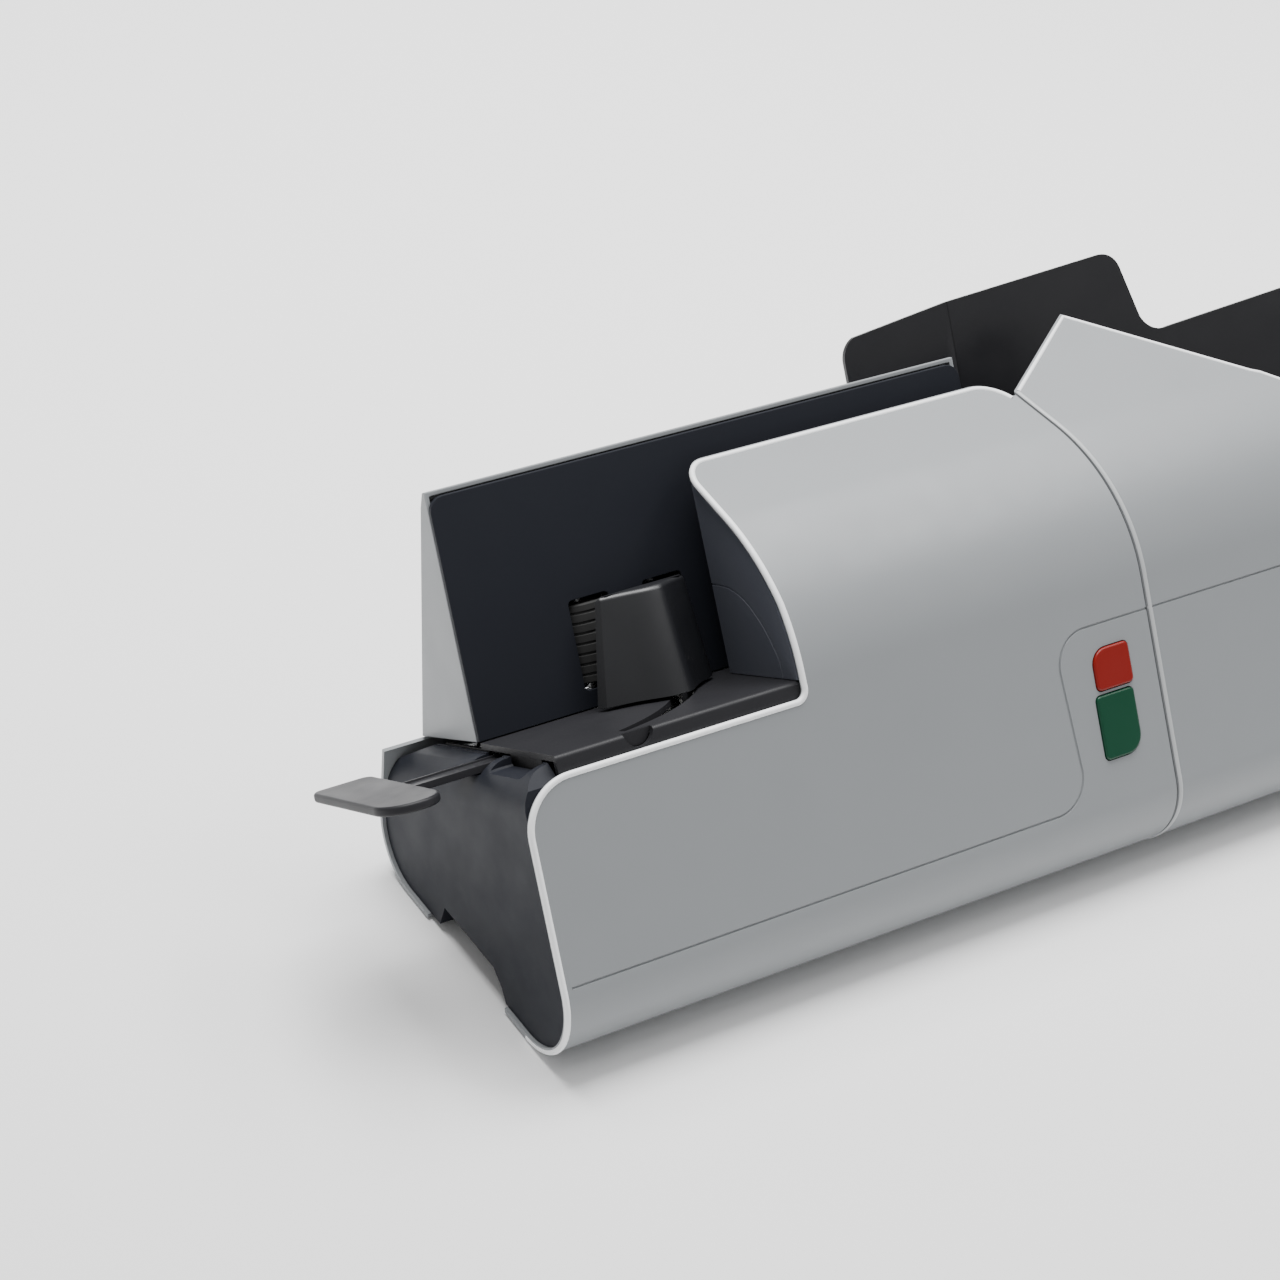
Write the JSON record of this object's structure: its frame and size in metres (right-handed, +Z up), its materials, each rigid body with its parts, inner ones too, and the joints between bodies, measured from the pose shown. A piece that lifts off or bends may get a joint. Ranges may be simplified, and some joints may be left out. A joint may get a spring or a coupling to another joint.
{
  "type": "franking machine",
  "caption": "Long desktop machine that feeds envelopes on edge between covers, with a swinging guide paddle, push buttons, hidden rollers and a tall stacker wall.",
  "frame": {"origin": "middle of the machine's footprint at the table, under its feet", "axes": "+X the way the mail runs, from the feed end to the stacker; +Y towards the back; +Z up"},
  "size_m": [0.8416, 0.2614, 0.2294],
  "materials": {
    "cover": "fine moulded texture, light grey",
    "charcoal": "fine moulded texture, charcoal",
    "black": "satin black",
    "red": "satin red",
    "green": "satin dark green",
    "rubber": "matt",
    "steel": "ground",
    "zinc": "zinc plated",
    "board": "printed circuit board with solder mask",
    "nylon": "natural nylon"
  },
  "bodies": {
    "machine": {"feed_cover": "cover", "outfeed_cover": "cover", "rear_cover": "cover", "tower_cover": "cover", "left_end_cap": "charcoal", "right_end_cap": "charcoal", "feed_deck": "charcoal", "stacker_deck": "charcoal", "support_channel": "charcoal", "rear_guide_wall": "charcoal", "hood_side_wall": "charcoal", "wing_guide": "charcoal", "stacker_back_wall": "black", "stop_switch": "black", "start_switch": "black", "ink_cartridge": "black", "power_inlet": "black", "switch_frame": "black", "foot_front_left": "rubber", "foot_back_left": "rubber", "foot_front_right": "rubber", "foot_back_right": "rubber", "drive_belt": "rubber", "paddle_pivot_pin": "steel", "base_plate": "zinc", "left_frame": "zinc", "middle_frame": "zinc", "right_frame": "zinc", "lower_bearing_plate": "zinc", "upper_bearing_plate": "zinc", "motor_bracket": "zinc", "drive_motor": "zinc", "separator_bracket": "zinc", "pinch_bracket": "zinc", "transport_rail": "zinc", "power_supply": "zinc", "switch_board": "board", "main_board": "board", "print_head": "nylon"},
    "mail_support": {"mail_support_pad": "charcoal", "mail_support_bar": "charcoal"},
    "guide_paddle": {"guide_paddle": "charcoal", "paddle_arm": "zinc"},
    "stop_button": {"stop_button": "red"},
    "start_button": {"start_button": "green"},
    "motor_drive": {"motor_pulley": "steel"},
    "feed_roller_1": {"feed_roller_1": "rubber", "feed_roller_1_shaft": "steel"},
    "feed_roller_2": {"feed_roller_2": "rubber", "feed_roller_2_shaft": "steel"},
    "separation_roller": {"separation_roller": "rubber", "separation_roller_shaft": "steel"},
    "transport_roller": {"transport_roller": "rubber", "transport_roller_shaft": "steel"},
    "separator": {"separator_roller": "rubber", "separator_shaft": "steel"},
    "pinch": {"pinch_roller": "rubber", "pinch_shaft": "steel"},
    "power_rocker": {"power_rocker": "red"},
    "stacker_stop": {"stacker_stop": "charcoal"}
  },
  "joints": [
    {"name": "support_slide", "type": "slide", "parent": "machine", "child": "mail_support", "axis": [1, 0, 0], "range_m": [0, 0.028]},
    {"name": "paddle_swing", "type": "hinge", "parent": "machine", "child": "guide_paddle", "pos_m": [-0.3208, 0.04009, 0.07724], "axis": [0, 0.5, 0.866], "range_deg": [-30, 2]},
    {"name": "stop_press", "type": "slide", "parent": "machine", "child": "stop_button", "axis": [0, 0.866, -0.5], "range_m": [0, 0.0015], "stiffness_N_per_m": 800, "springref_m": -0.001},
    {"name": "start_press", "type": "slide", "parent": "machine", "child": "start_button", "axis": [0, 0.866, -0.5], "range_m": [0, 0.0015], "stiffness_N_per_m": 800, "springref_m": -0.001},
    {"name": "motor_drive_spin", "type": "hinge", "parent": "machine", "child": "motor_drive", "pos_m": [-0.1068, 0.01302, 0.09634], "axis": [0, 0.5, 0.866], "continuous": true},
    {"name": "feed_roller_1_spin", "type": "hinge", "parent": "machine", "child": "feed_roller_1", "pos_m": [-0.2568, 0.01302, 0.09634], "axis": [0, 0.5, 0.866], "continuous": true},
    {"name": "feed_roller_2_spin", "type": "hinge", "parent": "machine", "child": "feed_roller_2", "pos_m": [-0.2118, 0.01302, 0.09634], "axis": [0, 0.5, 0.866], "continuous": true},
    {"name": "separation_roller_spin", "type": "hinge", "parent": "machine", "child": "separation_roller", "pos_m": [-0.1668, 0.01302, 0.09634], "axis": [0, 0.5, 0.866], "continuous": true},
    {"name": "transport_roller_spin", "type": "hinge", "parent": "machine", "child": "transport_roller", "pos_m": [-0.0468, 0.01302, 0.09634], "axis": [0, 0.5, 0.866], "continuous": true},
    {"name": "separator_spin", "type": "hinge", "parent": "machine", "child": "separator", "pos_m": [-0.1668, -0.00485, 0.1182], "axis": [0, 0.5, 0.866], "continuous": true},
    {"name": "pinch_spin", "type": "hinge", "parent": "machine", "child": "pinch", "pos_m": [-0.0468, -0.00485, 0.1182], "axis": [0, 0.5, 0.866], "continuous": true},
    {"name": "rocker_tip", "type": "hinge", "parent": "machine", "child": "power_rocker", "pos_m": [0.3577, 0.0585, 0.048], "axis": [1, 0, 0], "range_deg": [-14, 0]},
    {"name": "stop_slide", "type": "slide", "parent": "machine", "child": "stacker_stop", "axis": [1, 0, 0], "range_m": [-0.2, 0.015]}
  ],
  "couplings": [
    {"joint": "feed_roller_1_spin", "follows": "motor_drive_spin", "ratio": 1},
    {"joint": "feed_roller_2_spin", "follows": "motor_drive_spin", "ratio": 1},
    {"joint": "separation_roller_spin", "follows": "motor_drive_spin", "ratio": 1},
    {"joint": "transport_roller_spin", "follows": "motor_drive_spin", "ratio": 1},
    {"joint": "pinch_spin", "follows": "motor_drive_spin", "ratio": -1.3636}
  ]
}
